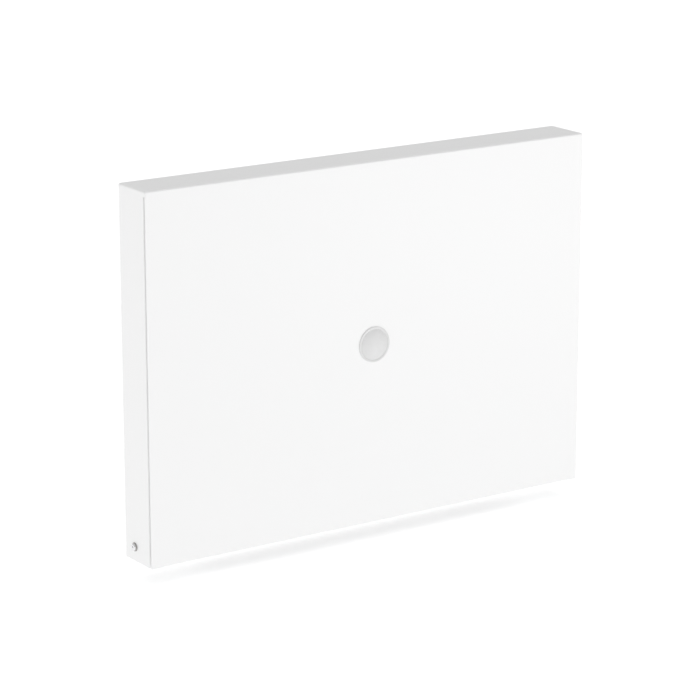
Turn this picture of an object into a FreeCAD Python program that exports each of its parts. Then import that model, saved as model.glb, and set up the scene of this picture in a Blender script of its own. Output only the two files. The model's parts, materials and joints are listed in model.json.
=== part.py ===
"""Wall mounted fold down drying rack, in millimetres.

Frame: the wall is the plane y = 0 and the room is towards -Y, +X runs along the wall and +Z is up.
The origin is the centre of the four wall holes. The rack is modelled closed, with the hood up.

A folded tray is screwed to the wall. A shaft through its two ears carries five nested U-shaped
rails and the hood that covers them. The hood folds down a quarter turn, and the rails fan out above
it, each until the end of its arc slot meets the stop rod.
"""

import FreeCAD
import Part
import math
import os

Vector = FreeCAD.Vector

# Hood: one folded sheet, closed at the top, front and sides, open at the back and underneath
HOOD_WIDTH = 700.0
HOOD_HEIGHT = 500.0
HOOD_DEPTH = 66.0
HOOD_WALL_GAP = 9.0
HOOD_SHEET = 1.5
HOOD_EDGE_RADIUS = 2.5
HOOD_BEND_RADIUS = 2.0
CLOSED_CORNER_HEIGHT = 8.0
SEAM_GAP = 3.5
SEAM_FLOOR = 3.0
LAP_FLANGE = 18.0
BOTTOM_RETURN = 15.0

# Pivot, measured from the hood's lower rear corner
PIVOT_FROM_REAR = 23.5
PIVOT_FROM_BOTTOM = 19.5
SHAFT_RADIUS = 4.0
RUNNING_CLEARANCE = 0.05
CLEARANCE = 0.3

# Tray on the wall
TRAY_WIDTH = 680.0
TRAY_SHEET = 1.5
TRAY_DEPTH = 30.0
TRAY_EDGE_RADIUS = 2.0
TRAY_BELOW_HOOD_TOP = 12.0
TRAY_ABOVE_HOOD_BOTTOM = 3.0
TRAY_BOTTOM_FLANGE = 16.0
EAR_REACH = 27.0
EAR_HEIGHT = 52.0
EAR_RADIUS = 6.0
WALL_HOLE_SPACING_X = 500.0
WALL_HOLE_SPACING_Z = 360.0
WALL_HOLE_RADIUS = 3.25

# Stop rod: it runs through the arc slots of the hubs and of the hood's hinge plates
STOP_ROD_RADIUS = 3.0
STOP_ROD_ORBIT = 20.0
STOP_ROD_ANGLE = -30.0
HOOD_FOLD_ANGLE = 90.0

# Rails, from the outermost to the innermost
ARM_OFFSETS = (328.0, 312.0, 296.0, 280.0, 264.0)
RAIL_HEIGHTS = (440.0, 416.0, 392.0, 368.0, 344.0)
FOLD_ANGLES = (75.0, 60.0, 45.0, 30.0, 15.0)
ROD_RADIUS = 4.0
ROD_BEND_RADIUS = 35.0
HUB_RADIUS = 10.0
HUB_LENGTH = 13.8
SOCKET_RADIUS = 6.9
SOCKET_BOTTOM = 12.0
SOCKET_TOP = 34.0
SECTOR_RADIUS = 27.0
SECTOR_THICKNESS = 4.0
SECTOR_MARGIN = 13.0
SPRING_PIN_RADIUS = 1.25
SPRING_PIN_HEIGHT = 24.0
SPACER_RADIUS = 8.0
SPACER_THICKNESS = 1.6
SLEEVE_RADIUS = 6.0

# Hood hinge: doubler plates, bushes and the screws in the shaft's ends
HINGE_PLATE = 3.0
PLATE_FORWARD = 35.0
PLATE_REARWARD = 18.0
PLATE_UP = 40.0
PLATE_DOWN = 18.5
PLATE_CORNER_RADIUS = 4.0
STUD_RADIUS = 2.0
STUD_LENGTH = 6.7
STUD_PLACES = ((-30.0, -11.0), (-30.0, 34.0), (12.0, 34.0))
NUT_ACROSS_FLATS = 7.0
NUT_HEIGHT = 3.2
BUSH_RADIUS = 6.0
BUSH_FLANGE_RADIUS = 9.0
BUSH_FLANGE = 1.0
EAR_SPACER_RADIUS = 7.0
WASHER_RADIUS = 6.0
WASHER_THICKNESS = 0.8
SCREW_RADIUS = 2.5
SCREW_LENGTH = 12.0
SCREW_HEAD_RADIUS = 4.75
SCREW_HEAD_HEIGHT = 2.2
SCREW_DOME = 1.4
HEX_KEY = 3.0
HEX_DEPTH = 1.5
CLIP_THICKNESS = 1.0
CLIP_DEPTH = 0.8
CLIP_REACH = 2.5

# Hood stiffeners and badge
STIFFENER_X = 175.0
STIFFENER_DEPTH = 8.0
STIFFENER_CROWN = 20.0
STIFFENER_FOOT = 10.0
STIFFENER_SHEET = 1.2
STIFFENER_HALF_LENGTH = 225.0
BADGE_RADIUS = 24.5
BADGE_THICKNESS = 1.2
BADGE_RING_RADIUS = 20.5
BADGE_RING_WIDTH = 1.0
BADGE_RING_DEPTH = 0.4

# Magnetic catches between the tray's top flange and the hood's top
CATCH_X = 150.0
CATCH_WIDTH = 44.0
CATCH_HEIGHT = 9.0
CATCH_FRONT = -37.0
CATCH_BACK = -12.0
MAGNET_WIDTH = 28.0
MAGNET_LENGTH = 8.0
MAGNET_HEIGHT = 6.0
MAGNET_PROUD = 1.0
CATCH_SCREW_X = 17.0
CATCH_SCREW_Y = -20.0
CATCH_SCREW_RADIUS = 1.5
CATCH_SCREW_LENGTH = 13.0
CATCH_SCREW_HEAD_RADIUS = 2.8
CATCH_SCREW_HEAD_HEIGHT = 2.0
STRIKE_WIDTH = 50.0
STRIKE_SHEET = 1.2
STRIKE_LEG = 20.0
STRIKE_DROP = 8.5

# Brackets on the tray that the folded rails lean on
REST_X = 200.0
REST_CROWN = 24.0
REST_FOOT = 12.0
REST_SHEET = 1.2
REST_STRIP = 1.5
REST_CLEARANCE = 1.0
REST_OVERLAP = 6.0
REST_RIVET_RADIUS = 2.0
REST_RIVET_HEAD_RADIUS = 3.5
REST_RIVET_HEAD = 1.2

# Places worked out from the dimensions above
SIDE = HOOD_WIDTH / 2
TOP = HOOD_HEIGHT / 2
BOTTOM = -HOOD_HEIGHT / 2
REAR = -HOOD_WALL_GAP
FRONT = REAR - HOOD_DEPTH
SIDE_INNER = SIDE - HOOD_SHEET
FRONT_INNER = FRONT + HOOD_SHEET
TOP_INNER = TOP - HOOD_SHEET
PIVOT_Y = REAR - PIVOT_FROM_REAR
PIVOT_Z = BOTTOM + PIVOT_FROM_BOTTOM
EAR_OUTER = TRAY_WIDTH / 2
EAR_INNER = EAR_OUTER - TRAY_SHEET
TRAY_TOP = TOP - TRAY_BELOW_HOOD_TOP
TRAY_BOTTOM = BOTTOM + TRAY_ABOVE_HOOD_BOTTOM
STOP_Y = PIVOT_Y - STOP_ROD_ORBIT * math.cos(math.radians(STOP_ROD_ANGLE))
STOP_Z = PIVOT_Z + STOP_ROD_ORBIT * math.sin(math.radians(STOP_ROD_ANGLE))
PLATE_INNER = SIDE_INNER - HINGE_PLATE
CATCH_TOP = TRAY_TOP + CATCH_HEIGHT
MAGNET_FACE = CATCH_FRONT - MAGNET_PROUD
REST_FRONT = PIVOT_Y + ROD_RADIUS + REST_CLEARANCE


def box(x0, x1, y0, y1, z0, z1):
    """A block between two corners."""
    return Part.makeBox(x1 - x0, y1 - y0, z1 - z0, Vector(x0, y0, z0))


def rod_x(x0, x1, y, z, radius):
    """A round bar along X."""
    return Part.makeCylinder(radius, x1 - x0, Vector(x0, y, z), Vector(1, 0, 0))


def rod_y(x, y0, y1, z, radius):
    """A round bar along Y."""
    return Part.makeCylinder(radius, y1 - y0, Vector(x, y0, z), Vector(0, 1, 0))


def rod_z(x, y, z0, z1, radius):
    """A round bar along Z."""
    return Part.makeCylinder(radius, z1 - z0, Vector(x, y, z0), Vector(0, 0, 1))


def ring_x(x0, x1, y, z, outer, inner):
    """A washer or sleeve along X."""
    return rod_x(x0, x1, y, z, outer).cut(rod_x(x0, x1, y, z, inner))


def prism(points, direction):
    """A flat outline pushed along a direction."""
    return Part.Face(Part.makePolygon(points + [points[0]])).extrude(direction)


def hexagon_x(x0, x1, y, z, across_flats):
    """A six-sided bar along X."""
    reach = across_flats / math.sqrt(3)
    corners = []
    for side in range(6):
        turn = math.radians(60 * side)
        corners.append(Vector(x0, y + reach * math.cos(turn), z + reach * math.sin(turn)))
    return prism(corners, Vector(x1 - x0, 0, 0))


def round_edges(shape, radius, wanted):
    """Rounds the edges for which wanted(box of the edge) is true."""
    edges = [edge for edge in shape.Edges if wanted(edge.BoundBox)]
    return shape.makeFillet(radius, edges)


def level(value, place):
    """True where a coordinate is at a place."""
    return abs(value - place) < 1e-3


def mirrored(shape):
    """The same piece on the other side of the rack."""
    return shape.mirror(Vector(0, 0, 0), Vector(1, 0, 0))


def both_sides(*shapes):
    """Right and left pieces as one group of separate solids."""
    return Part.makeCompound(list(shapes) + [mirrored(shape) for shape in shapes])


def pivot_point(x, radius, angle):
    """A point around the pivot: angle 0 is towards the room and 90 is up."""
    turn = math.radians(angle)
    return Vector(x, PIVOT_Y - radius * math.cos(turn), PIVOT_Z + radius * math.sin(turn))


def sector(x0, x1, inner, outer, start, end):
    """A slice of a ring around the pivot, from one angle to the other."""
    middle = (start + end) / 2
    if inner > 0:
        inner_start = pivot_point(x0, inner, start)
        inner_arc = [Part.Arc(pivot_point(x0, inner, end), pivot_point(x0, inner, middle), inner_start)]
        inner_end = pivot_point(x0, inner, end)
    else:
        inner_start = Vector(x0, PIVOT_Y, PIVOT_Z)
        inner_end = inner_start
        inner_arc = []
    outer_start = pivot_point(x0, outer, start)
    outer_end = pivot_point(x0, outer, end)
    curves = [
        Part.LineSegment(inner_start, outer_start),
        Part.Arc(outer_start, pivot_point(x0, outer, middle), outer_end),
        Part.LineSegment(outer_end, inner_end),
    ] + inner_arc
    wire = Part.Wire([curve.toShape() for curve in curves])
    return Part.Face(wire).extrude(Vector(x1 - x0, 0, 0))


def arc_slot(x0, x1, travel):
    """The space that the stop rod needs while a piece turns by travel about the pivot."""
    half = STOP_ROD_RADIUS + CLEARANCE
    first = pivot_point(x0, STOP_ROD_ORBIT, STOP_ROD_ANGLE)
    last = pivot_point(x0, STOP_ROD_ORBIT, STOP_ROD_ANGLE + travel)
    inner = STOP_ROD_ORBIT - half
    outer = STOP_ROD_ORBIT + half
    slot = sector(x0, x1, inner, outer, STOP_ROD_ANGLE, STOP_ROD_ANGLE + travel)
    slot = slot.fuse(rod_x(x0, x1, first.y, first.z, half))
    return slot.fuse(rod_x(x0, x1, last.y, last.z, half)).removeSplitter()


def retaining_clip(x0, y, z, bar_radius):
    """A snap ring in a groove, open towards the room."""
    groove = bar_radius - CLIP_DEPTH
    ring = ring_x(x0, x0 + CLIP_THICKNESS, y, z, bar_radius + CLIP_REACH, groove)
    mouth = box(x0, x0 + CLIP_THICKNESS, y - 2 * bar_radius - CLIP_REACH, y, z - groove, z + groove)
    return ring.cut(mouth)


def hat_section(x, base, depth, crown, foot, sheet, z0, z1):
    """A hat channel along Z on a wall at y = base: depth is its rise, negative towards the room."""
    rise = base + depth
    skin = math.copysign(sheet, depth)
    half = crown / 2
    outline = [
        (-half - foot, base),
        (-half - foot, base + skin),
        (-half, base + skin),
        (-half, rise),
        (half, rise),
        (half, base + skin),
        (half + foot, base + skin),
        (half + foot, base),
        (half - sheet, base),
        (half - sheet, rise - skin),
        (-half + sheet, rise - skin),
        (-half + sheet, base),
    ]
    return prism([Vector(x + px, py, z0) for px, py in outline], Vector(0, 0, z1 - z0))


def hood_cap():
    """The hood's top with the closed part of its corners."""
    low = TOP - CLOSED_CORNER_HEIGHT
    outer = box(-SIDE, SIDE, FRONT, REAR, low, TOP)

    def folded(edge):
        at_top = level(edge.ZMin, TOP) and not (level(edge.YMin, REAR) and level(edge.YMax, REAR))
        upright = edge.ZLength > 1 and level(edge.YMax, FRONT)
        return at_top or upright

    outer = round_edges(outer, HOOD_EDGE_RADIUS, folded)
    inner = box(-SIDE_INNER, SIDE_INNER, FRONT_INNER, REAR + 1, low - 1, TOP_INNER)

    def inside_fold(edge):
        at_top = level(edge.ZMin, TOP_INNER) and not level(edge.YMin, REAR + 1)
        upright = edge.ZLength > 1 and level(edge.YMax, FRONT_INNER)
        return at_top or upright

    inner = round_edges(inner, HOOD_EDGE_RADIUS - HOOD_SHEET, inside_fold)
    return outer.cut(inner)


def hood_side():
    """The left side below the closed corner, with its seam floor and the flange welded behind the front."""
    low = BOTTOM
    lap_front = FRONT_INNER + SEAM_GAP
    lap_back = lap_front + HOOD_SHEET
    inner_radius = HOOD_BEND_RADIUS - HOOD_SHEET
    centre = Vector(-SIDE + HOOD_BEND_RADIUS, lap_front + HOOD_BEND_RADIUS, low)
    slant = math.sqrt(0.5)
    outer_middle = centre + Vector(-slant, -slant, 0) * HOOD_BEND_RADIUS
    inner_middle = centre + Vector(-slant, -slant, 0) * inner_radius
    outer_side = Vector(-SIDE, centre.y, low)
    outer_lap = Vector(centre.x, lap_front, low)
    inner_side = Vector(-SIDE_INNER, centre.y, low)
    inner_lap = Vector(centre.x, lap_back, low)
    floor_end = centre.x + SEAM_FLOOR
    lap_start = floor_end + SEAM_GAP
    lap_end = -SIDE + LAP_FLANGE
    step = HOOD_SHEET * math.tan(math.radians(22.5))
    flange = [
        outer_lap,
        Vector(floor_end, lap_front, low),
        Vector(lap_start, FRONT_INNER, low),
        Vector(lap_end, FRONT_INNER, low),
        Vector(lap_end, FRONT_INNER + HOOD_SHEET, low),
        Vector(lap_start + step, FRONT_INNER + HOOD_SHEET, low),
        Vector(floor_end + step, lap_back, low),
        inner_lap,
    ]
    side = [inner_side, Vector(-SIDE_INNER, REAR, low), Vector(-SIDE, REAR, low), outer_side]
    curves = [Part.Arc(outer_side, outer_middle, outer_lap), Part.Arc(inner_lap, inner_middle, inner_side)]
    for points in (flange, side):
        curves += [Part.LineSegment(first, second) for first, second in zip(points, points[1:])]
    wire = Part.Wire(Part.sortEdges([curve.toShape() for curve in curves])[0])
    height = TOP - CLOSED_CORNER_HEIGHT - BOTTOM
    return Part.Face(wire).extrude(Vector(0, 0, height))


def hood_shell():
    """The folded cover with its open corner seams and its pivot holes."""
    low = TOP - CLOSED_CORNER_HEIGHT
    front = box(-SIDE, SIDE, FRONT, FRONT_INNER, BOTTOM, low)
    lap = SIDE - LAP_FLANGE - 1
    bottom_return = box(-lap, lap, FRONT, FRONT + BOTTOM_RETURN, BOTTOM, BOTTOM + HOOD_SHEET)
    side = hood_side()
    shell = hood_cap().fuse([front, bottom_return, side, mirrored(side)])
    shell = shell.cut(rod_x(-SIDE - 1, SIDE + 1, PIVOT_Y, PIVOT_Z, BUSH_RADIUS))
    return shell.removeSplitter()


def hood_stiffeners():
    """Two hat channels inside the front."""
    channel = hat_section(
        STIFFENER_X,
        FRONT_INNER,
        STIFFENER_DEPTH,
        STIFFENER_CROWN,
        STIFFENER_FOOT,
        STIFFENER_SHEET,
        -STIFFENER_HALF_LENGTH,
        STIFFENER_HALF_LENGTH,
    )
    return both_sides(channel)


def front_badge():
    """A blank disc with one turned ring."""
    face = FRONT - BADGE_THICKNESS
    disc = rod_y(0, face, FRONT, 0, BADGE_RADIUS)

    def front_rim(edge):
        return level(edge.YMin, face) and level(edge.YMax, face)

    disc = round_edges(disc, BADGE_THICKNESS / 2, front_rim)
    outer = rod_y(0, face, face + BADGE_RING_DEPTH, 0, BADGE_RING_RADIUS + BADGE_RING_WIDTH)
    inner = rod_y(0, face, face + BADGE_RING_DEPTH, 0, BADGE_RING_RADIUS)
    return disc.cut(outer.cut(inner))


def hinge_plates():
    """Doublers inside the hood's sides, with the arc slot that stops the hood."""
    plate = box(
        PLATE_INNER,
        SIDE_INNER,
        PIVOT_Y - PLATE_FORWARD,
        PIVOT_Y + PLATE_REARWARD,
        PIVOT_Z - PLATE_DOWN,
        PIVOT_Z + PLATE_UP,
    )
    plate = round_edges(plate, PLATE_CORNER_RADIUS, lambda edge: edge.XLength > 1)
    plate = plate.cut(rod_x(PLATE_INNER, SIDE_INNER, PIVOT_Y, PIVOT_Z, BUSH_RADIUS))
    plate = plate.cut(arc_slot(PLATE_INNER, SIDE_INNER, HOOD_FOLD_ANGLE))
    for forward, up in STUD_PLACES:
        plate = plate.cut(rod_x(PLATE_INNER, SIDE_INNER, PIVOT_Y + forward, PIVOT_Z + up, STUD_RADIUS))
    return both_sides(plate)


def hinge_studs():
    """Studs welded to the inside of the hood's sides."""
    studs = []
    for forward, up in STUD_PLACES:
        y = PIVOT_Y + forward
        z = PIVOT_Z + up
        studs.append(rod_x(SIDE_INNER - STUD_LENGTH, SIDE_INNER, y, z, STUD_RADIUS))
    return both_sides(*studs)


def hinge_nuts():
    """Nuts on the studs."""
    nuts = []
    for forward, up in STUD_PLACES:
        y = PIVOT_Y + forward
        z = PIVOT_Z + up
        nut = hexagon_x(PLATE_INNER - NUT_HEIGHT, PLATE_INNER, y, z, NUT_ACROSS_FLATS)
        nuts.append(nut.cut(rod_x(PLATE_INNER - NUT_HEIGHT, PLATE_INNER, y, z, STUD_RADIUS)))
    return both_sides(*nuts)


def hood_bushes():
    """Flanged plastic bushes that turn on the shaft."""
    bore = SHAFT_RADIUS + RUNNING_CLEARANCE
    flange_start = PLATE_INNER - BUSH_FLANGE
    bush = rod_x(flange_start, SIDE, PIVOT_Y, PIVOT_Z, BUSH_RADIUS)
    bush = bush.fuse(rod_x(flange_start, PLATE_INNER, PIVOT_Y, PIVOT_Z, BUSH_FLANGE_RADIUS))
    bush = bush.cut(rod_x(flange_start, SIDE, PIVOT_Y, PIVOT_Z, bore))
    return both_sides(bush)


def catch_strikes():
    """Steel tabs welded under the hood's top."""
    back = MAGNET_FACE - CLEARANCE
    front = back - STRIKE_SHEET
    x0 = CATCH_X - STRIKE_WIDTH / 2
    x1 = CATCH_X + STRIKE_WIDTH / 2
    leg = box(x0, x1, front - STRIKE_LEG, back, TOP_INNER - STRIKE_SHEET, TOP_INNER)
    tab = box(x0, x1, front, back, TOP_INNER - STRIKE_DROP, TOP_INNER)
    return both_sides(leg.fuse(tab).removeSplitter())


def ear():
    """One ear of the tray, as a flat outline pushed through the sheet."""
    forward = PIVOT_Y - EAR_REACH
    shoulder = TRAY_BOTTOM + EAR_HEIGHT
    outline = [
        Vector(EAR_INNER, -TRAY_DEPTH + 1, TRAY_BOTTOM),
        Vector(EAR_INNER, forward, TRAY_BOTTOM),
        Vector(EAR_INNER, forward, PIVOT_Z + STOP_ROD_ORBIT),
        Vector(EAR_INNER, -TRAY_DEPTH, shoulder),
        Vector(EAR_INNER, -TRAY_DEPTH + 1, shoulder),
    ]
    blank = prism(outline, Vector(TRAY_SHEET, 0, 0))
    return round_edges(blank, EAR_RADIUS, lambda edge: edge.XLength > 1 and level(edge.YMin, forward))


def base_tray():
    """The folded tray on the wall with its ears."""
    outer = box(-EAR_OUTER, EAR_OUTER, -TRAY_DEPTH, 0, TRAY_BOTTOM, TRAY_TOP)
    outer = round_edges(outer, TRAY_EDGE_RADIUS, lambda edge: level(edge.YMin, 0) and level(edge.YMax, 0))
    inner = box(
        -EAR_INNER,
        EAR_INNER,
        -TRAY_DEPTH - 1,
        -TRAY_SHEET,
        TRAY_BOTTOM + TRAY_SHEET,
        TRAY_TOP - TRAY_SHEET,
    )

    def at_back(edge):
        return level(edge.YMin, -TRAY_SHEET) and level(edge.YMax, -TRAY_SHEET)

    inner = round_edges(inner, TRAY_EDGE_RADIUS - TRAY_SHEET, at_back)
    tray = outer.cut(inner)
    bottom = TRAY_BOTTOM + TRAY_SHEET
    tray = tray.cut(box(-EAR_INNER, EAR_INNER, -TRAY_DEPTH, -TRAY_BOTTOM_FLANGE, TRAY_BOTTOM, bottom))
    right_ear = ear()
    tray = tray.fuse([right_ear, mirrored(right_ear)])
    span = EAR_OUTER + 1
    tray = tray.cut(rod_x(-span, span, PIVOT_Y, PIVOT_Z, SHAFT_RADIUS))
    tray = tray.cut(rod_x(-span, span, STOP_Y, STOP_Z, STOP_ROD_RADIUS))
    for x in (-WALL_HOLE_SPACING_X / 2, WALL_HOLE_SPACING_X / 2):
        for z in (-WALL_HOLE_SPACING_Z / 2, WALL_HOLE_SPACING_Z / 2):
            tray = tray.cut(rod_y(x, -TRAY_SHEET - 1, 1, z, WALL_HOLE_RADIUS))
    for side in (-1, 1):
        for offset in (-CATCH_SCREW_X, CATCH_SCREW_X):
            x = side * CATCH_X + offset
            tray = tray.cut(rod_z(x, CATCH_SCREW_Y, TRAY_TOP - 3, TRAY_TOP + 1, CATCH_SCREW_RADIUS))
    return tray.removeSplitter()


def pivot_shaft():
    """The shaft that everything turns on, tapped at both ends and grooved for its clips."""
    end = SIDE + CLEARANCE
    shaft = rod_x(-end, end, PIVOT_Y, PIVOT_Z, SHAFT_RADIUS)
    drilled = rod_x(end - SCREW_LENGTH - 2, end, PIVOT_Y, PIVOT_Z, SCREW_RADIUS)
    clip_start = EAR_INNER - CLEARANCE - CLIP_THICKNESS
    groove_floor = SHAFT_RADIUS - CLIP_DEPTH
    groove = ring_x(clip_start, clip_start + CLIP_THICKNESS, PIVOT_Y, PIVOT_Z, SHAFT_RADIUS + 1, groove_floor)
    return shaft.cut([drilled, mirrored(drilled), groove, mirrored(groove)])


def shaft_clips():
    """Snap rings that hold the shaft between the ears."""
    clip_start = EAR_INNER - CLEARANCE - CLIP_THICKNESS
    return both_sides(retaining_clip(clip_start, PIVOT_Y, PIVOT_Z, SHAFT_RADIUS))


def stop_rod():
    """The rod that every arc slot runs on."""
    end = SIDE_INNER - CLEARANCE
    rod = rod_x(-end, end, STOP_Y, STOP_Z, STOP_ROD_RADIUS)
    groove_floor = STOP_ROD_RADIUS - CLIP_DEPTH
    start = EAR_OUTER
    groove = ring_x(start, start + CLIP_THICKNESS, STOP_Y, STOP_Z, STOP_ROD_RADIUS + 1, groove_floor)
    return rod.cut([groove, mirrored(groove)])


def stop_rod_clips():
    """Snap rings outside the ears."""
    return both_sides(retaining_clip(EAR_OUTER, STOP_Y, STOP_Z, STOP_ROD_RADIUS))


def pivot_washers():
    """Washers outside the hood."""
    start = SIDE + CLEARANCE
    return both_sides(ring_x(start, start + WASHER_THICKNESS, PIVOT_Y, PIVOT_Z, WASHER_RADIUS, SCREW_RADIUS))


def pivot_screws():
    """Low button-head screws in the shaft's ends."""
    washer_face = SIDE + CLEARANCE + WASHER_THICKNESS
    head_face = washer_face + SCREW_HEAD_HEIGHT
    head = rod_x(washer_face, head_face, PIVOT_Y, PIVOT_Z, SCREW_HEAD_RADIUS)

    def crown(edge):
        return level(edge.XMin, head_face) and level(edge.XMax, head_face)

    head = round_edges(head, SCREW_DOME, crown)
    head = head.cut(hexagon_x(head_face - HEX_DEPTH, head_face + 1, PIVOT_Y, PIVOT_Z, HEX_KEY))
    shank = rod_x(SIDE + CLEARANCE - SCREW_LENGTH, washer_face, PIVOT_Y, PIVOT_Z, SCREW_RADIUS)
    return both_sides(head.fuse(shank))


def ear_spacers():
    """Spacers that centre the hood on the tray."""
    start = EAR_OUTER + CLEARANCE
    end = PLATE_INNER - BUSH_FLANGE - CLEARANCE
    bore = SHAFT_RADIUS + RUNNING_CLEARANCE
    return both_sides(ring_x(start, end, PIVOT_Y, PIVOT_Z, EAR_SPACER_RADIUS, bore))


def hub_spacers():
    """Washers beside the hubs, one outside each."""
    spacers = []
    pitch = ARM_OFFSETS[0] - ARM_OFFSETS[1]
    bore = SHAFT_RADIUS + RUNNING_CLEARANCE
    for arm in ARM_OFFSETS:
        start = arm + (pitch - SPACER_THICKNESS) / 2
        spacers.append(ring_x(start, start + SPACER_THICKNESS, PIVOT_Y, PIVOT_Z, SPACER_RADIUS, bore))
    return both_sides(*spacers)


def centre_sleeve():
    """The tube that keeps the two innermost hubs apart."""
    end = ARM_OFFSETS[-1] - HUB_LENGTH / 2 - CLEARANCE
    return ring_x(-end, end, PIVOT_Y, PIVOT_Z, SLEEVE_RADIUS, SHAFT_RADIUS + RUNNING_CLEARANCE)


def rail(arm, height):
    """A U-shaped rail, bent from one rod."""
    foot = PIVOT_Z + SOCKET_BOTTOM
    top = PIVOT_Z + height
    corner = ROD_BEND_RADIUS
    slant = corner * (1 - math.sqrt(0.5))

    def at(x, z):
        return Vector(x, PIVOT_Y, z)

    curves = [
        Part.LineSegment(at(-arm, foot), at(-arm, top - corner)),
        Part.Arc(at(-arm, top - corner), at(-arm + slant, top - slant), at(-arm + corner, top)),
        Part.LineSegment(at(-arm + corner, top), at(arm - corner, top)),
        Part.Arc(at(arm - corner, top), at(arm - slant, top - slant), at(arm, top - corner)),
        Part.LineSegment(at(arm, top - corner), at(arm, foot)),
    ]
    path = Part.Wire([curve.toShape() for curve in curves])
    circle = Part.Circle(at(-arm, foot), Vector(0, 0, 1), ROD_RADIUS)
    return path.makePipeShell([Part.Wire(circle.toShape())], True, False)


def hub(arm, travel):
    """A hub with the socket for its rail and the sector with its arc slot."""
    x0 = arm - HUB_LENGTH / 2
    x1 = arm + HUB_LENGTH / 2
    plate_start = arm - SECTOR_THICKNESS / 2
    plate_end = arm + SECTOR_THICKNESS / 2
    body = rod_x(x0, x1, PIVOT_Y, PIVOT_Z, HUB_RADIUS)
    start = STOP_ROD_ANGLE - SECTOR_MARGIN
    end = STOP_ROD_ANGLE + travel + SECTOR_MARGIN
    body = body.fuse(sector(plate_start, plate_end, 0, SECTOR_RADIUS, start, end))
    body = body.fuse(rod_z(arm, PIVOT_Y, PIVOT_Z, PIVOT_Z + SOCKET_TOP, SOCKET_RADIUS))
    body = body.cut(rod_x(x0, x1, PIVOT_Y, PIVOT_Z, SHAFT_RADIUS + RUNNING_CLEARANCE))
    body = body.cut(rod_z(arm, PIVOT_Y, PIVOT_Z + SOCKET_BOTTOM, PIVOT_Z + SOCKET_TOP, ROD_RADIUS))
    body = body.cut(arc_slot(plate_start - 1, plate_end + 1, travel))
    return body.cut(spring_pin(arm)).removeSplitter()


def spring_pin(arm):
    """The pin that locks a rail in its hub."""
    height = PIVOT_Z + SPRING_PIN_HEIGHT
    return rod_y(arm, PIVOT_Y - SOCKET_RADIUS, PIVOT_Y + SOCKET_RADIUS, height, SPRING_PIN_RADIUS)


def catch_housings():
    """Catch bodies on the tray's top flange, each with a pocket for its magnet."""
    x0 = CATCH_X - CATCH_WIDTH / 2
    x1 = CATCH_X + CATCH_WIDTH / 2
    housing = box(x0, x1, CATCH_FRONT, CATCH_BACK, TRAY_TOP, CATCH_TOP)
    housing = round_edges(housing, 2.0, lambda edge: edge.ZLength > 1)
    housing = housing.cut(magnet())
    for offset in (-CATCH_SCREW_X, CATCH_SCREW_X):
        x = CATCH_X + offset
        sink = CATCH_TOP - CATCH_SCREW_HEAD_HEIGHT
        housing = housing.cut(rod_z(x, CATCH_SCREW_Y, TRAY_TOP, CATCH_TOP, CATCH_SCREW_RADIUS))
        housing = housing.cut(rod_z(x, CATCH_SCREW_Y, sink, CATCH_TOP, CATCH_SCREW_HEAD_RADIUS))
    return both_sides(housing)


def magnet():
    """A bar magnet that stands a little proud of its housing."""
    middle = (TRAY_TOP + CATCH_TOP) / 2
    return box(
        CATCH_X - MAGNET_WIDTH / 2,
        CATCH_X + MAGNET_WIDTH / 2,
        MAGNET_FACE,
        MAGNET_FACE + MAGNET_LENGTH,
        middle - MAGNET_HEIGHT / 2,
        middle + MAGNET_HEIGHT / 2,
    )


def catch_screws():
    """Screws that hold the catches to the tray."""
    screws = []
    for offset in (-CATCH_SCREW_X, CATCH_SCREW_X):
        x = CATCH_X + offset
        sink = CATCH_TOP - CATCH_SCREW_HEAD_HEIGHT
        head = rod_z(x, CATCH_SCREW_Y, sink, CATCH_TOP, CATCH_SCREW_HEAD_RADIUS)
        shank = rod_z(x, CATCH_SCREW_Y, CATCH_TOP - CATCH_SCREW_LENGTH, sink, CATCH_SCREW_RADIUS)
        screws.append(head.fuse(shank))
    return both_sides(*screws)


def rest_span():
    """Lowest and highest point of the rest brackets."""
    low = PIVOT_Z + RAIL_HEIGHTS[-1] - REST_OVERLAP
    high = PIVOT_Z + RAIL_HEIGHTS[0] + REST_OVERLAP
    return low, high


def rest_brackets():
    """Hat channels on the tray behind the rails."""
    low, high = rest_span()
    depth = REST_FRONT + REST_STRIP + TRAY_SHEET
    channel = hat_section(REST_X, -TRAY_SHEET, depth, REST_CROWN, REST_FOOT, REST_SHEET, low, high)
    for x, z in rest_rivet_places():
        channel = channel.cut(rod_y(x, -TRAY_SHEET - 2 * REST_SHEET, 0, z, REST_RIVET_RADIUS))
    return both_sides(channel)


def rest_strips():
    """Rubber strips on the rest brackets."""
    low, high = rest_span()
    half = REST_CROWN / 2 - 2
    return both_sides(box(REST_X - half, REST_X + half, REST_FRONT, REST_FRONT + REST_STRIP, low, high))


def rest_rivet_places():
    """Where rivets hold the rest brackets."""
    low, high = rest_span()
    reach = (REST_CROWN + REST_FOOT) / 2
    return [(REST_X + side * reach, z) for side in (-1, 1) for z in (low + 12, high - 12)]


def rest_rivets():
    """Rivets through the brackets' feet, flush with the back of the tray."""
    rivets = []
    foot = -TRAY_SHEET - REST_SHEET
    for x, z in rest_rivet_places():
        head = rod_y(x, foot - REST_RIVET_HEAD, foot, z, REST_RIVET_HEAD_RADIUS)
        head = round_edges(head, REST_RIVET_HEAD * 0.8, lambda edge: level(edge.YMax, foot - REST_RIVET_HEAD))
        rivets.append(head.fuse(rod_y(x, foot, -TRAY_SHEET, z, REST_RIVET_RADIUS)))
    return both_sides(*rivets)


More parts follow.
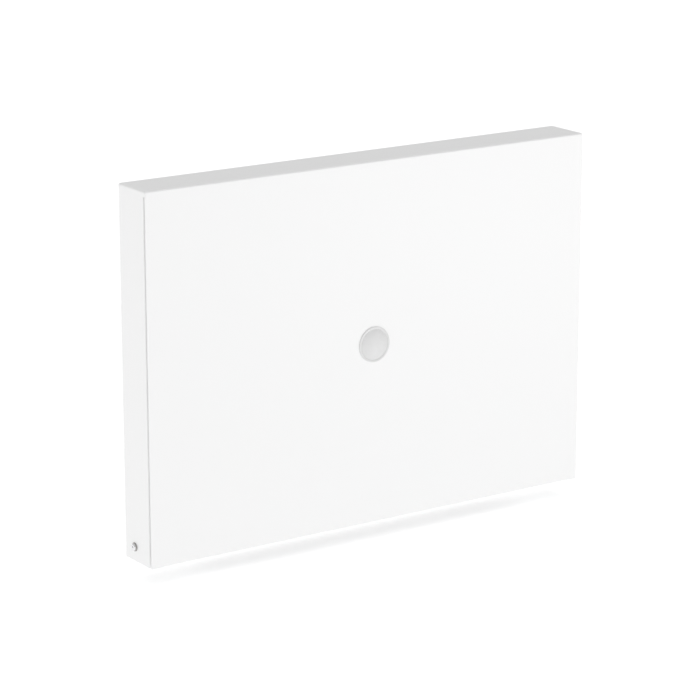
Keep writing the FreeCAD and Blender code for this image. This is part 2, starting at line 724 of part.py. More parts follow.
def build():
    """Every sub-part by node name."""
    nodes = {
        "base_tray": base_tray(),
        "pivot_shaft": pivot_shaft(),
        "shaft_clips": shaft_clips(),
        "stop_rod": stop_rod(),
        "stop_rod_clips": stop_rod_clips(),
        "pivot_washers": pivot_washers(),
        "pivot_screws": pivot_screws(),
        "ear_spacers": ear_spacers(),
        "hub_spacers": hub_spacers(),
        "centre_sleeve": centre_sleeve(),
        "catch_housings": catch_housings(),
        "catch_magnets": both_sides(magnet()),
        "catch_screws": catch_screws(),
        "rest_brackets": rest_brackets(),
        "rest_strips": rest_strips(),
        "rest_rivets": rest_rivets(),
        "hood_shell": hood_shell(),
        "hood_stiffeners": hood_stiffeners(),
        "hinge_plates": hinge_plates(),
        "hinge_studs": hinge_studs(),
        "hinge_nuts": hinge_nuts(),
        "hood_bushes": hood_bushes(),
        "catch_strikes": catch_strikes(),
        "front_badge": front_badge(),
    }
    for number, (arm, height, travel) in enumerate(zip(ARM_OFFSETS, RAIL_HEIGHTS, FOLD_ANGLES), 1):
        pin = spring_pin(arm)
        nodes[f"hoop_{number}_rail"] = rail(arm, height).cut([pin, mirrored(pin)])
        nodes[f"hoop_{number}_hubs"] = both_sides(hub(arm, travel))
        nodes[f"hoop_{number}_pins"] = both_sides(pin)
    return nodes


os.makedirs("parts", exist_ok=True)
for node, shape in build().items():
    shape.exportStep(f"parts/{node}.step")
    solids = len(shape.Solids)
    print(f"{node}: {solids} solid(s), valid {shape.isValid()}, {shape.Volume / 1000:.1f} cm3")
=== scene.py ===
"""The looks of a wall mounted fold down drying rack, built round its packed model.

The rack is a folded tray on the wall, five nested U-shaped rails and the white hood that covers them.
Sizes are in metres. The wall is y = 0, the room is towards -Y and +Z is up.
"""

import json
import math

import bmesh
import bpy
from bpy.props import FloatProperty, FloatVectorProperty, IntProperty, PointerProperty
from mathutils import Matrix, Vector


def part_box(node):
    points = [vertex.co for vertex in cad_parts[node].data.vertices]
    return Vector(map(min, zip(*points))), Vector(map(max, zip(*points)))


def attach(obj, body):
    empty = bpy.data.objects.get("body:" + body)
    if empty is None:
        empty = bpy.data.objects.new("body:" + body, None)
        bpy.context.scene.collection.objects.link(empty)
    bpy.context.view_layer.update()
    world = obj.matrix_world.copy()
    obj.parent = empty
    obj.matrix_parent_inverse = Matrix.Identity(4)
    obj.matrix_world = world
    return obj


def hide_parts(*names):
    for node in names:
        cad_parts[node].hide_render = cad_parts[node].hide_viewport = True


bl_info = {
    "name": "Fold down drying rack",
    "version": (1, 0, 0),
    "blender": (4, 5, 0),
    "location": "View3D > Sidebar > Drying rack",
    "description": "Builds a wall mounted drying rack with its hood, rails, hinge and catches",
    "category": "Object",
}

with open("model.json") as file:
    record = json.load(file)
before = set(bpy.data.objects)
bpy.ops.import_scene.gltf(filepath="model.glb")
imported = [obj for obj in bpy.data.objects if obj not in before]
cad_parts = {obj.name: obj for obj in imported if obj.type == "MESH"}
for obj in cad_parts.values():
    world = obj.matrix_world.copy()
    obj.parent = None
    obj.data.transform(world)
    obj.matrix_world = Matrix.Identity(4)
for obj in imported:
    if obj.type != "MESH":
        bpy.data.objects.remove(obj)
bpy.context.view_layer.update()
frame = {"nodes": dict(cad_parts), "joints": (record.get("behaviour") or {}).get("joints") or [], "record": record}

MM = 0.001
HOOD_LOW, HOOD_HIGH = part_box("hood_shell")
BADGE_LOW, BADGE_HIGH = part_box("front_badge")
SHAFT_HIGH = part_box("pivot_shaft")[1]
STOP_LOW, STOP_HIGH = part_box("stop_rod")
SLEEVE_LOW, SLEEVE_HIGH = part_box("centre_sleeve")
PLATE_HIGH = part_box("hinge_plates")[1]
PIVOT = Vector(frame["joints"][0]["pos_m"])
STOP = (STOP_LOW + STOP_HIGH) / 2
HOOPS = range(1, 6)
LEFT_AND_RIGHT = (-1, 1)
TOUCHING = 1e-7
CAD_MERGE = 0.002 * MM
CAD_FLAT = math.radians(0.4)
LINE_MERGE = 0.01 * MM
OVERSHOOT = 1.0 * MM
WELD_GAP = 0.02 * MM
CLEARANCE = 0.3 * MM
SHAFT_RADIUS = 4.0 * MM
STOP_ROD_RADIUS = 3.0 * MM
SHAFT_BORE = SHAFT_RADIUS + 0.05 * MM
HINGE_PLATE = 3.0 * MM
BUSH_RADIUS = 6.0 * MM


# --- settings


def length(name, description, default):
    """A size that a user can change, in metres."""
    return FloatProperty(
        name=name, description=description, default=default, min=0.0, unit="LENGTH", precision=4
    )


def share(name, description, default):
    """A value from 0 to 1."""
    return FloatProperty(
        name=name, description=description, default=default, min=0.0, max=1.0, subtype="FACTOR"
    )


def colour(name, description, default):
    """A surface colour."""
    return FloatVectorProperty(
        name=name, description=description, default=default, size=3, min=0.0, max=1.0, subtype="COLOR"
    )


def whole(name, description, default, most):
    """A number of faces."""
    return IntProperty(name=name, description=description, default=default, min=2, max=most)


def amount(name, description, default):
    """A value that is never negative, such as a lamp's power."""
    return FloatProperty(name=name, description=description, default=default, min=0.0)


def angle(name, description, degrees):
    """An angle, given in degrees."""
    return FloatProperty(
        name=name, description=description, default=math.radians(degrees), subtype="ANGLE"
    )


def spot(name, description, default):
    """A point in the frame."""
    return FloatVectorProperty(name=name, description=description, default=default, subtype="XYZ")


class HoodSettings(bpy.types.PropertyGroup):
    """Sizes of the folded hood."""

    sheet: length("Sheet", "Thickness of the hood's sheet", 1.5 * MM)
    edge_radius: length("Edge radius", "Outer radius of the folds round the top", 2.5 * MM)
    bend_radius: length("Bend radius", "Outer radius of the bend behind each corner seam", 2.0 * MM)
    seam_gap: length("Seam gap", "Gap between the front and the seam's floor behind it", 3.5 * MM)
    seam_floor: length("Seam floor", "Width of the flat floor of the seam", 3.0 * MM)
    closed_corner: length("Closed corner", "Height of the corner that is closed above each seam", 8.0 * MM)
    lap_flange: length("Lap flange", "Reach of the flange behind the front", 18.0 * MM)
    bottom_return: length("Bottom return", "Depth of the fold along the front's bottom edge", 15.0 * MM)
    bottom_radius: length("Bottom radius", "Outer radius of the fold along the bottom edge", 1.6 * MM)
    edge_set_back: length("Edge set-back", "How far the front's cut edge stays inside the side", 0.15 * MM)
    cut_edge: length("Cut edge", "Rounding of the coated cut edges", 0.3 * MM)
    fold_steps: whole("Fold steps", "Faces round each fold", 8, 24)


class BadgeSettings(bpy.types.PropertyGroup):
    """Sizes of the round badge."""

    rim: length("Rim", "Rounding of the badge's rim", 0.5 * MM)
    ring_radius: length("Ring radius", "Middle radius of the turned ring", 21.0 * MM)
    ring_width: length("Ring width", "Width of the turned ring", 1.0 * MM)
    ring_depth: length("Ring depth", "Depth of the turned ring", 0.35 * MM)
    steps: whole("Steps", "Faces round the badge", 128, 256)


class RailSettings(bpy.types.PropertyGroup):
    """Sizes of the rails."""

    rod_radius: length("Rod radius", "Radius of the rails' rod", 4.0 * MM)
    bend_radius: length("Bend radius", "Middle radius of the rails' corners", 35.0 * MM)
    bend_steps: whole("Bend steps", "Rings round each corner", 20, 64)
    round_steps: whole("Round steps", "Faces round the rod", 32, 64)


class CoatSettings(bpy.types.PropertyGroup):
    """Colours and finish of the rack's materials."""

    white: colour("White coat", "Colour of the powder coat", (0.90, 0.90, 0.90))
    white_roughness: share("White roughness", "Roughness of the powder coat", 0.42)
    peel: share("Orange peel", "Strength of the powder coat's fine waviness", 0.10)
    rail: colour("Rail coat", "Colour of the rails' coat", (0.86, 0.865, 0.87))
    hub: colour("Hub plastic", "Colour of the rails' hubs", (0.60, 0.61, 0.62))
    dark_plastic: colour("Grey plastic", "Colour of spacers, bushes and catches", (0.17, 0.175, 0.18))
    badge: colour("Badge", "Colour of the round badge", (0.78, 0.78, 0.78))
    rubber: colour("Rubber", "Colour of the rest strips", (0.025, 0.025, 0.027))


class StageSettings(bpy.types.PropertyGroup):
    """Camera, floor and light."""

    lens: amount("Lens", "Focal length in millimetres on a 36 mm sensor", 150.1)
    azimuth: angle("Azimuth", "Side from which the camera looks", -34.22)
    elevation: angle("Elevation", "Height of the camera's view", 15.03)
    distance: length("Distance", "From the camera to the point it looks at", 3.887)
    aim: spot("Aim", "Point that the camera looks at", (-0.0392, -0.075, -0.0019))
    floor_drop: length("Floor drop", "Room for the hood's front edge to swing over the floor", 28.0 * MM)
    floor_radius: length("Floor radius", "How far the floor reaches", 40.0)
    floor_glow: amount("Floor glow", "Light that the white floor gives", 0.45)
    horizon: amount("Horizon", "Strength of the light from the sides", 0.749)
    zenith: amount("Zenith", "Strength of the light from above", 0.795)
    end_shade: share("End shade", "How much weaker the light from the rack's two ends is", 0.16)
    key_power: amount("Key power", "Power of the lamp at the right, in watts", 1.1)
    key_size: length("Key size", "Width of the lamp at the right", 1.0)
    key_place: spot("Key place", "Where the lamp at the right hangs", (0.9, -1.2, -0.1))


# --- materials


def node(tree, kind, **values):
    """A shader node with some of its own settings."""
    made = tree.nodes.new(kind)
    for name, value in values.items():
        setattr(made, name, value)
    return made


def fill(made, values):
    """Puts plain values on a node's own input sockets."""
    for name, value in values.items():
        made.inputs[name].default_value = value


def noise(tree, scale, detail, stretch=(1, 1, 1), roughness=0.5):
    """Noise on object coordinates, so that it stays at the same size on every piece."""
    place = node(tree, "ShaderNodeTexCoord")
    mapping = node(tree, "ShaderNodeMapping")
    made = node(tree, "ShaderNodeTexNoise")
    fill(mapping, {"Scale": stretch})
    fill(made, {"Scale": scale, "Detail": detail, "Roughness": roughness})
    tree.links.new(place.outputs["Object"], mapping.inputs["Vector"])
    tree.links.new(mapping.outputs["Vector"], made.inputs["Vector"])
    return made.outputs["Fac"]


def ramp(tree, source, low, high, low_value, high_value):
    """Maps part of a texture's range to a range of values."""
    made = node(tree, "ShaderNodeMapRange")
    fill(made, {"From Min": low, "From Max": high, "To Min": low_value, "To Max": high_value})
    tree.links.new(source, made.inputs["Value"])
    return made.outputs["Result"]


def drift(tree, shader, texture, low, high, first, second):
    """Lets the colour drift between two tones with part of a texture's range."""
    made = node(tree, "ShaderNodeMix", data_type="RGBA")
    fill(made, {"A": (*first, 1), "B": (*second, 1)})
    tree.links.new(ramp(tree, texture, low, high, 0.0, 1.0), made.inputs["Factor"])
    tree.links.new(made.outputs["Result"], shader.inputs["Base Color"])


def roughen(tree, shader, texture, low, high, least, most):
    """Lets the roughness vary with part of a texture's range."""
    tree.links.new(ramp(tree, texture, low, high, least, most), shader.inputs["Roughness"])


def bump(tree, sources, shader):
    """Stacks fine reliefs: each source is (texture, strength, depth in metres)."""
    normal = None
    for texture, strength, depth in sources:
        made = node(tree, "ShaderNodeBump")
        fill(made, {"Strength": strength, "Distance": depth})
        tree.links.new(texture, made.inputs["Height"])
        if normal is not None:
            tree.links.new(normal, made.inputs["Normal"])
        normal = made.outputs["Normal"]
    tree.links.new(normal, shader.inputs["Normal"])


def shade(name, **values):
    """A new material, its tree and its shader with some plain values."""
    material = bpy.data.materials.new(name)
    material.use_nodes = True
    shader = material.node_tree.nodes["Principled BSDF"]
    fill(shader, {label.replace("_", " "): value for label, value in values.items()})
    return material, material.node_tree, shader


def lighter(base, factor):
    """A colour scaled towards black or white."""
    return tuple(min(1.0, channel * factor) for channel in base)


def powder_coat(name, base, roughness, peel, grain):
    """Satin powder coat: broad waviness, fine grain and a slight drift of tone."""
    material, tree, shader = shade(name, Specular_IOR_Level=0.45)
    waviness = noise(tree, 420.0, 2.0)
    fine = noise(tree, grain, 3.0, roughness=0.6)
    cloud = noise(tree, 6.0, 3.0)
    drift(tree, shader, cloud, 0.3, 0.7, lighter(base, 0.988), base)
    roughen(tree, shader, fine, 0.3, 0.7, roughness - 0.05, roughness + 0.05)
    bump(tree, [(waviness, peel, 0.25 * MM), (fine, peel, 0.05 * MM)], shader)
    return material


def moulded_plastic(name, base, roughness):
    """Spark-textured moulded plastic."""
    material, tree, shader = shade(name)
    grain = noise(tree, 2600.0, 4.0, roughness=0.7)
    flow = noise(tree, 35.0, 2.0, stretch=(1, 1, 0.3))
    drift(tree, shader, flow, 0.35, 0.65, lighter(base, 0.94), lighter(base, 1.03))
    roughen(tree, shader, grain, 0.35, 0.65, roughness - 0.07, roughness + 0.09)
    bump(tree, [(grain, 0.35, 0.04 * MM)], shader)
    return material


def worked_metal(name, base, roughness, stretch, scale=900.0, relief=0.18):
    """Metal with marks along its working direction and a faint mottle."""
    material, tree, shader = shade(name, Metallic=1.0)
    marks = noise(tree, scale, 5.0, stretch=stretch, roughness=0.65)
    mottle = noise(tree, 120.0, 3.0)
    drift(tree, shader, mottle, 0.35, 0.65, lighter(base, 0.90), lighter(base, 1.04))
    roughen(tree, shader, marks, 0.3, 0.7, roughness * 0.7, roughness * 1.35)
    bump(tree, [(marks, relief, 0.02 * MM)], shader)
    return material


def enamel(name, base):
    """Badge enamel with concentric turning marks round the badge's middle."""
    material, tree, shader = shade(name, Coat_Weight=0.25, Coat_Roughness=0.2)
    place = node(tree, "ShaderNodeTexCoord")
    middle = node(tree, "ShaderNodeMapping")
    fill(middle, {"Location": -(BADGE_LOW + BADGE_HIGH) / 2})
    wave = node(tree, "ShaderNodeTexWave", wave_type="RINGS", rings_direction="Y")
    fill(wave, {"Scale": 330.0, "Distortion": 0.6, "Detail": 2.0})
    tree.links.new(place.outputs["Object"], middle.inputs["Vector"])
    tree.links.new(middle.outputs["Vector"], wave.inputs["Vector"])
    cloud = noise(tree, 60.0, 3.0)
    drift(tree, shader, cloud, 0.3, 0.7, lighter(base, 0.97), lighter(base, 1.02))
    roughen(tree, shader, wave.outputs["Fac"], 0.0, 1.0, 0.30, 0.42)
    bump(tree, [(wave.outputs["Fac"], 0.12, 0.02 * MM)], shader)
    return material


def soft_rubber(name, base):
    """Matt rubber with a dusty bloom."""
    material, tree, shader = shade(name)
    grain = noise(tree, 1500.0, 4.0, roughness=0.7)
    bloom = noise(tree, 70.0, 4.0)
    drift(tree, shader, bloom, 0.4, 0.75, base, lighter(base, 2.2))
    roughen(tree, shader, grain, 0.3, 0.7, 0.72, 0.92)
    bump(tree, [(grain, 0.5, 0.08 * MM)], shader)
    return material


def material(name):
    """A material by name: the CAD import's plain one where it brought that name, else a new one."""
    if name in bpy.data.materials:
        return bpy.data.materials[name]
    coat = bpy.context.scene.rack_coats
    makers = {
        "white_coat": (powder_coat, coat.white, coat.white_roughness, coat.peel, 2400.0),
        "rail_coat": (powder_coat, coat.rail, 0.30, coat.peel * 0.8, 1500.0),
        "hub_plastic": (moulded_plastic, coat.hub, 0.48),
        "grey_plastic": (moulded_plastic, coat.dark_plastic, 0.55),
        "steel": (worked_metal, (0.60, 0.60, 0.59), 0.30, (0.06, 1, 1)),
        "plate_steel": (worked_metal, (0.58, 0.58, 0.57), 0.34, (1, 1, 0.05)),
        "spring_steel": (worked_metal, (0.22, 0.215, 0.21), 0.36, (1, 1, 1), 1400.0),
        "polished_steel": (worked_metal, (0.92, 0.92, 0.915), 0.12, (1, 1, 1), 500.0, 0.03),
        "aluminium": (worked_metal, (0.66, 0.67, 0.68), 0.27, (0.02, 1, 1)),
        "magnet": (worked_metal, (0.50, 0.49, 0.47), 0.22, (0.3, 1, 1)),
        "rubber": (soft_rubber, coat.rubber),
        "badge_enamel": (enamel, coat.badge),
    }
    maker, base, *values = makers[name]
    return maker(name, tuple(base), *values)


# --- mesh work


def body_of(cad_node):
    """The body that a CAD node belongs to."""
    bodies = frame["record"]["behaviour"]["bodies"]
    return next(body for body, nodes in bodies.items() if cad_node in nodes)


def in_scene(name, data):
    """An object in the scene that shows the data."""
    made = bpy.data.objects.new(name, data)
    bpy.context.scene.collection.objects.link(made)
    return made


def from_bmesh(name, work):
    """An object in the scene from mesh work that is done."""
    mesh = bpy.data.meshes.new(name)
    work.to_mesh(mesh)
    work.free()
    return in_scene(name, mesh)


def bake_modifiers(piece):
    """Turns what the modifiers show into the piece's own mesh."""
    graph = bpy.context.evaluated_depsgraph_get()
    final = bpy.data.meshes.new_from_object(piece.evaluated_get(graph))
    piece.modifiers.clear()
    piece.data = final


def ease_edges(piece, width, segments=2, angle=35.0):
    """Rounds the sharp edges a little and keeps the flats flat."""
    bevel = piece.modifiers.new("Eased edges", "BEVEL")
    bevel.width = width
    bevel.segments = segments
    bevel.limit_method = "ANGLE"
    bevel.angle_limit = math.radians(angle)
    bevel.harden_normals = False
    bevel.use_clamp_overlap = True
    piece.data.shade_smooth()
    flats = piece.modifiers.new("Flat faces", "WEIGHTED_NORMAL")
    flats.keep_sharp = True


def finish_piece(piece, cad_node, finish):
    """Gives the piece its material and its body, and hides the CAD node that it stands for."""
    bake_modifiers(piece)
    piece.data.materials.clear()
    piece.data.materials.append(material(finish))
    for face in piece.data.polygons:
        face.material_index = 0
    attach(piece, body_of(cad_node))
    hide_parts(cad_node)


def from_cad(cad_node, finish, edge=0.25 * MM, smooth=35.0):
    """A finished piece on a CAD node's shape: merged, cleaned, with eased edges."""
    work = bmesh.new()
    work.from_mesh(frame["nodes"][cad_node].data)
    bmesh.ops.remove_doubles(work, verts=work.verts, dist=CAD_MERGE)
    flats = {"verts": work.verts, "edges": work.edges, "delimit": {"NORMAL"}}
    bmesh.ops.dissolve_limit(work, angle_limit=CAD_FLAT, **flats)
    piece = from_bmesh(cad_node + "_finished", work)
    ease_edges(piece, edge, angle=smooth)
    finish_piece(piece, cad_node, finish)


def strip(work, first, second, outward):
    """A row of faces between two lines of points, all facing outward."""
    for i in range(len(first) - 1):
        corners = [first[i], first[i + 1], second[i + 1], second[i]]
        kept = [p for k, p in enumerate(corners) if (p - corners[k - 1]).length > TOUCHING]
        if len(kept) < 3:
            continue
        normal = (kept[1] - kept[0]).cross(kept[2] - kept[0])
        middle = sum(kept, Vector()) / len(kept)
        if normal.dot(outward(middle)) < 0:
            kept.reverse()
        work.faces.new([work.verts.new(p) for p in kept])


def lattice(work, lines, outward):
    """Faces across several lines of points."""
    for first, second in zip(lines, lines[1:]):
        strip(work, first, second, outward)


def quarter(steps):
    """Angles from 0 to 90 degrees."""
    return [math.pi / 2 * i / steps for i in range(steps + 1)]


def rounding(radius, steps):
    """How far a rounded corner stays back from either side of the square one, step by step."""
    return [(radius * (1 - math.sin(turn)), radius * (1 - math.cos(turn))) for turn in quarter(steps)]


def circle(work, along, radius, steps):
    """Points in a ring round the X axis."""
    turns = [2 * math.pi * i / steps for i in range(steps)]
    return [work.verts.new((along, radius * math.cos(t), radius * math.sin(t))) for t in turns]


def turned(profile, steps):
    """Mesh work of a part turned about +X from (along, radius) points; a ring ends where it starts."""
    work = bmesh.new()
    rings = []
    for along, radius in profile:
        on_axis = radius < TOUCHING
        rings.append([work.verts.new((along, 0, 0))] if on_axis else circle(work, along, radius, steps))
    for first, second in zip(rings, rings[1:]):
        for i in range(steps):
            loop = [first[i % len(first)], first[(i + 1) % len(first)]]
            loop += [second[(i + 1) % len(second)], second[i % len(second)]]
            distinct = list(dict.fromkeys(loop))
            if len(distinct) > 2:
                work.faces.new(distinct)
    bmesh.ops.remove_doubles(work, verts=work.verts, dist=TOUCHING)
    bmesh.ops.recalc_face_normals(work, faces=work.faces)
    return work


def bar(start, end, radius, steps=64):
    """Mesh work of a plain round bar along +X."""
    return turned([(start, 0), (start, radius), (end, radius), (end, 0)], steps)


def ring_profile(start, end, inner, outer, ease):
    """A closed profile of a washer or sleeve with eased corners."""
    first, last = start + ease, end - ease
    low, high = inner + ease, outer - ease
    profile = [(start, low), (start, high), (first, outer), (last, outer), (end, high), (end, low)]
    return profile + [(last, inner), (first, inner), (start, low)]


def dome(start, rise, radius, steps):
    """Profile points of a dome that ends on the axis."""
    return [(start + rise * math.sin(a), radius * math.cos(a)) for a in quarter(steps)]


def hexagon(start, end, across_flats):
    """Mesh work of a six-sided bar along +X."""
    work = bmesh.new()
    first, second = [circle(work, along, across_flats / math.sqrt(3), 6) for along in (start, end)]
    work.faces.new(first)
    work.faces.new(second)
    for i in range(6):
        work.faces.new([first[i], first[(i + 1) % 6], second[(i + 1) % 6], second[i]])
    bmesh.ops.recalc_face_normals(work, faces=work.faces)
    return work


def snap_ring(thickness, inner, outer, mouth, steps=40):
    """Mesh work of a retaining ring along +X that is open towards -Y."""
    work = bmesh.new()
    half = math.asin(mouth / 2 / inner)
    turns = [math.pi + half + (2 * math.pi - 2 * half) * i / steps for i in range(steps + 1)]
    loops = []
    for turn in turns:
        across, up = math.cos(turn), math.sin(turn)
        section = [(0, inner), (0, outer), (thickness, outer), (thickness, inner)]
        loops.append([work.verts.new((x, r * across, r * up)) for x, r in section])
    for first, second in zip(loops, loops[1:]):
        for i in range(4):
            j = (i + 1) % 4
            work.faces.new([first[i], first[j], second[j], second[i]])
    work.faces.new(loops[0])
    work.faces.new(loops[-1])
    bmesh.ops.recalc_face_normals(work, faces=work.faces)
    return work


def shade_round(piece, sharp):
    """Shades a piece smooth apart from the corners that are sharper than an angle in degrees."""
    piece.data.shade_smooth()
    piece.data.set_sharp_from_angle(angle=math.radians(sharp))


def reopen(piece):
    """The piece's mesh as mesh work again, in place of the piece."""
    work = bmesh.new()
    work.from_mesh(piece.data)
    bpy.data.objects.remove(piece)
    return work


def carve(piece, tools):
    """Cuts tools out of a piece and takes the tools away."""
    for tool in tools:
        cut = piece.modifiers.new("Carve", "BOOLEAN")
        cut.operation = "DIFFERENCE"
        cut.solver = "EXACT"
        cut.object = tool
        bake_modifiers(piece)
        bpy.data.objects.remove(tool)


# --- geometry node trees


def new_tree(name, **inputs):
    """A geometry node tree with its named inputs, and its entry and exit nodes."""
    tree = bpy.data.node_groups.new(name, "GeometryNodeTree")
    for label, kind in {"geometry": "Geometry", **inputs, "material": "Material"}.items():
        label = label.capitalize().replace("_", " ")
        tree.interface.new_socket(name=label, in_out="INPUT", socket_type="NodeSocket" + kind)
    tree.interface.new_socket(name="Geometry", in_out="OUTPUT", socket_type="NodeSocketGeometry")
    return tree, tree.nodes.new("NodeGroupInput"), tree.nodes.new("NodeGroupOutput")


def close_tree(tree, entry, out, geometry):
    """Ends a tree in real geometry with its material."""
    real = tree.nodes.new("GeometryNodeRealizeInstances")
    paint = tree.nodes.new("GeometryNodeSetMaterial")
    tree.links.new(geometry, real.inputs["Geometry"])
    tree.links.new(real.outputs["Geometry"], paint.inputs["Geometry"])
    tree.links.new(entry.outputs["Material"], paint.inputs["Material"])
    tree.links.new(paint.outputs["Geometry"], out.inputs["Geometry"])


def rail_tree():
    """A bent rod: the line's corners are rounded and a circle is swept along it."""
    inputs = {"rod_radius": "Float", "bend_radius": "Float", "bend_steps": "Int", "round_steps": "Int"}
    tree, entry, out = new_tree("Bent rail", **inputs)
    line = tree.nodes.new("GeometryNodeMeshToCurve")
    corners = tree.nodes.new("GeometryNodeFilletCurve")
    section = tree.nodes.new("GeometryNodeCurvePrimitiveCircle")
    sweep = tree.nodes.new("GeometryNodeCurveToMesh")
    smooth = tree.nodes.new("GeometryNodeSetShadeSmooth")
    link = tree.links.new
    link(entry.outputs["Geometry"], line.inputs["Mesh"])
    link(line.outputs["Curve"], corners.inputs["Curve"])
    link(entry.outputs["Bend radius"], corners.inputs["Radius"])
    corners.mode = "POLY"
    link(entry.outputs["Bend steps"], corners.inputs["Count"])
    link(entry.outputs["Rod radius"], section.inputs["Radius"])
    link(entry.outputs["Round steps"], section.inputs["Resolution"])
    link(corners.outputs["Curve"], sweep.inputs["Curve"])
    link(section.outputs["Curve"], sweep.inputs["Profile Curve"])
    sweep.inputs["Fill Caps"].default_value = True
    link(sweep.outputs["Mesh"], smooth.inputs["Geometry"])
    close_tree(tree, entry, out, smooth.outputs["Geometry"])
    return tree


def repeat_tree():
    """Puts one part at every point, turned as the point's own "turn" says."""
    tree, entry, out = new_tree("Like parts", part="Object", size="Float")
    tree.interface.items_tree["Size"].default_value = 1.0
    part = tree.nodes.new("GeometryNodeObjectInfo")
    turn = tree.nodes.new("GeometryNodeInputNamedAttribute")
    turn.data_type = "FLOAT_VECTOR"
    turn.inputs["Name"].default_value = "turn"
    rotation = tree.nodes.new("FunctionNodeEulerToRotation")
    place = tree.nodes.new("GeometryNodeInstanceOnPoints")
    link = tree.links.new
    link(entry.outputs["Part"], part.inputs["Object"])
    link(turn.outputs["Attribute"], rotation.inputs["Euler"])
    link(entry.outputs["Geometry"], place.inputs["Points"])
    link(part.outputs["Geometry"], place.inputs["Instance"])
    link(rotation.outputs["Rotation"], place.inputs["Rotation"])
    link(entry.outputs["Size"], place.inputs["Scale"])
    close_tree(tree, entry, out, place.outputs["Instances"])
    return tree


def grow(cad_node, mesh, name, **values):
    """A piece grown from a mesh by a named tree: each value goes to the input of that name."""
    piece = in_scene(cad_node + "_finished", mesh)
    makers = {"Bent rail": rail_tree, "Like parts": repeat_tree}
    tree = bpy.data.node_groups.get(name) or makers[name]()
    modifier = piece.modifiers.new(name, "NODES")
    modifier.node_group = tree
    for item in tree.interface.items_tree:
        key = item.name.lower().replace(" ", "_")
        if item.in_out == "INPUT" and key in values:
            modifier[item.identifier] = values[key]
    bake_modifiers(piece)
    return piece


def like_parts(cad_node, finish, work, places, edge=0.0, smooth=40.0):
    """One part repeated at (point, turn) places, for a CAD node that holds a group of them."""
    part = from_bmesh("part", work)
    if edge > 0:
        ease_edges(part, edge, angle=smooth)
    else:
        shade_round(part, smooth)
    bake_modifiers(part)
    points = bpy.data.meshes.new(cad_node)
    points.from_pydata([tuple(point) for point, _ in places], [], [])
    turns = points.attributes.new("turn", "FLOAT_VECTOR", "POINT")
    turns.data.foreach_set("vector", [value for _, turn in places for value in turn])
    piece = grow(cad_node, points, "Like parts", part=part, size=1.0, material=material(finish))
    bpy.data.objects.remove(part)
    finish_piece(piece, cad_node, finish)


def facing(side):
    """The turn that points a part made along +X to the left or the right."""
    return (0.0, 0.0, 0.0) if side > 0 else (0.0, 0.0, math.pi)


def at_ends(centre, offset):
    """A place on each side of the rack, facing outwards."""
    return [(Vector((side * offset, centre.y, centre.z)), facing(side)) for side in LEFT_AND_RIGHT]


def mirrored(centre, start, width):
    """A place on each side of the rack for a ring of this width, both facing right."""
    return [(Vector((x, centre.y, centre.z)), facing(1)) for x in (start, -start - width)]


# --- the hood


def hood_front_line(sizes, x):
    """Points at one place along the wall, from the rear over the top fold and down the front."""
    top, bottom, rear, front = HOOD_HIGH.z, HOOD_LOW.z, HOOD_HIGH.y, HOOD_LOW.y
    bend_start = front + sizes.sheet + sizes.seam_gap + sizes.bend_radius
    points = [Vector((x, rear, top)), Vector((x, bend_start, top))]
    for back, down in rounding(sizes.edge_radius, sizes.fold_steps):
        points.append(Vector((x, front + back, top - down)))
    points.append(Vector((x, front, top - sizes.closed_corner)))
    points.append(Vector((x, front, bottom + sizes.bottom_radius)))
    return points


def hood_low_fold(sizes, x):
    """Points under the front, round the bottom fold and back along its flange."""
    bottom, front = HOOD_LOW.z, HOOD_LOW.y
    points = []
    for up, back in rounding(sizes.bottom_radius, sizes.fold_steps)[1:]:
        points.append(Vector((x, front + back, bottom + up)))
    points.append(Vector((x, front + sizes.bottom_return, bottom)))
    return points


def hood_side_faces(work, sizes, side, outward):
    """One side of the hood: the top fold, the side, the closed corner, the bend and the lap flange."""
    top, bottom, rear, front = HOOD_HIGH.z, HOOD_LOW.z, HOOD_HIGH.y, HOOD_LOW.y
    edge = side * HOOD_HIGH.x
    radius, bend = sizes.edge_radius, sizes.bend_radius
    seam_top = top - sizes.closed_corner
    lap = front + sizes.sheet + sizes.seam_gap
    turns = quarter(sizes.fold_steps)

    def over_fold(y):
        """Points from the top over the side fold to the level where the seam starts."""
        fold = rounding(radius, sizes.fold_steps)
        line = [Vector((edge - side * inwards, y, top - down)) for inwards, down in fold]
        return line + [Vector((edge, y, seam_top))]

    lattice(work, [over_fold(y) for y in (rear, lap + bend, front + radius)], outward)
    centre = Vector((edge - side * radius, front + radius, top - radius))
    corner = []
    for round_turn in turns:
        line = []
        for turn in turns:
            reach = radius * math.sin(turn)
            across, forward = side * reach * math.cos(round_turn), -reach * math.sin(round_turn)
            line.append(centre + Vector((across, forward, radius * math.cos(turn))))
        corner.append(line + [Vector((line[-1].x, line[-1].y, seam_top))])
    lattice(work, corner, outward)
    bend_line = [Vector((edge, rear, 0))]
    for back, inwards in rounding(bend, sizes.fold_steps):
        bend_line.append(Vector((edge - side * inwards, lap + back, 0)))
    floor_end = bend + sizes.seam_floor
    behind_front = front + sizes.sheet + WELD_GAP
    bend_line.append(Vector((edge - side * floor_end, lap, 0)))
    bend_line.append(Vector((edge - side * (floor_end + sizes.seam_gap), behind_front, 0)))
    bend_line.append(Vector((edge - side * sizes.lap_flange, behind_front, 0)))
    lines = [[Vector((p.x, p.y, z)) for p in bend_line] for z in (seam_top, bottom)]
    lattice(work, lines, outward)


